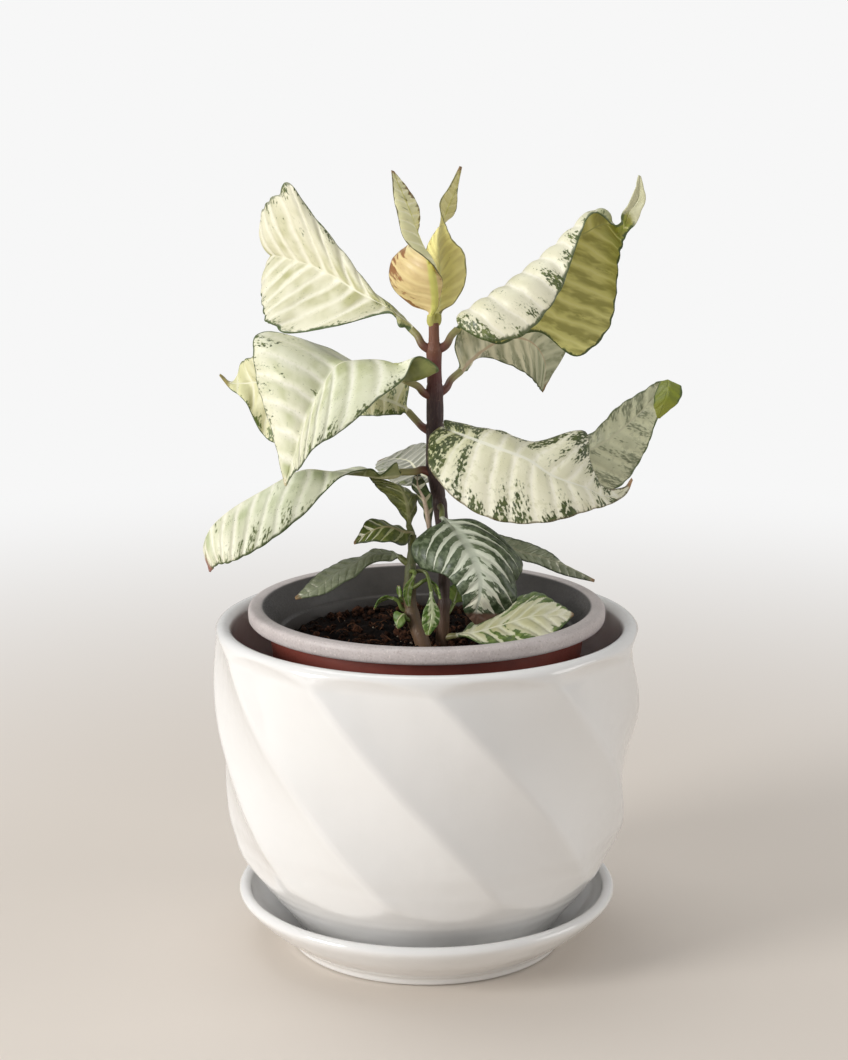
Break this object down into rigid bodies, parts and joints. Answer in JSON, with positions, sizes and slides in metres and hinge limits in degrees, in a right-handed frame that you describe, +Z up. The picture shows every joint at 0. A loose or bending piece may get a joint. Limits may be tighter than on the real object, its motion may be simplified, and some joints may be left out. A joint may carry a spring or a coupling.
{
  "type": "potted zebra plant",
  "caption": "Young zebra plant with cream and green variegated leaves, in nested nursery pots inside a white cachepot with twisted facets, on a white saucer.",
  "frame": {"origin": "centre of the saucer's flat base, on the surface that it stands on", "axes": "+Z up along the pots' common axis, -Y towards the viewer of the plant's front, +X to that viewer's right"},
  "size_m": [0.1625, 0.144, 0.2632],
  "materials": {
    "saucer_glaze": "glossy white glaze",
    "cachepot_glaze": "glossy white glaze",
    "sleeve_plastic": "matte red-brown moulded plastic",
    "liner_plastic": "satin grey moulded plastic, scuffed",
    "soil_peat": "loose dark peat with fibres",
    "main_stem_bark": "smooth dark purple-brown bark",
    "side_stem_bark": "grey-brown bark",
    "young_leaf": "waxy young leaf",
    "cream_leaf": "waxy cream leaf with green marks",
    "pale_leaf": "waxy pale green leaf with dark stripes",
    "green_leaf": "waxy dark green leaf with pale veins",
    "shoot_leaf": "waxy fresh green shoot"
  },
  "bodies": {
    "root": {"saucer": "saucer_glaze", "cachepot": "cachepot_glaze", "sleeve_pot": "sleeve_plastic", "liner_pot": "liner_plastic", "soil": "soil_peat", "main_stem": "main_stem_bark", "side_stem": "side_stem_bark", "leaf_crown_left": "young_leaf", "leaf_crown_right": "young_leaf", "leaf_upper_left": "cream_leaf", "leaf_upper_right": "cream_leaf", "leaf_mid_left_front": "cream_leaf", "leaf_mid_left_back": "cream_leaf", "leaf_right_back_upper": "pale_leaf", "leaf_mid_right_front": "cream_leaf", "leaf_mid_right_back": "pale_leaf", "leaf_low_left": "cream_leaf", "leaf_low_back": "pale_leaf", "side_leaf_up_left": "green_leaf", "side_leaf_by_stem": "green_leaf", "side_leaf_left": "green_leaf", "side_leaf_low_left": "pale_leaf", "side_leaf_front": "green_leaf", "side_leaf_right": "pale_leaf", "side_leaf_in_pot": "cream_leaf", "sprout_hanging": "shoot_leaf", "sprout_strap": "shoot_leaf", "sprout_curled": "shoot_leaf", "sprout_round": "shoot_leaf", "sprout_far": "shoot_leaf", "sprout_upright": "shoot_leaf", "sprout_behind": "shoot_leaf"}
  },
  "joints": []
}
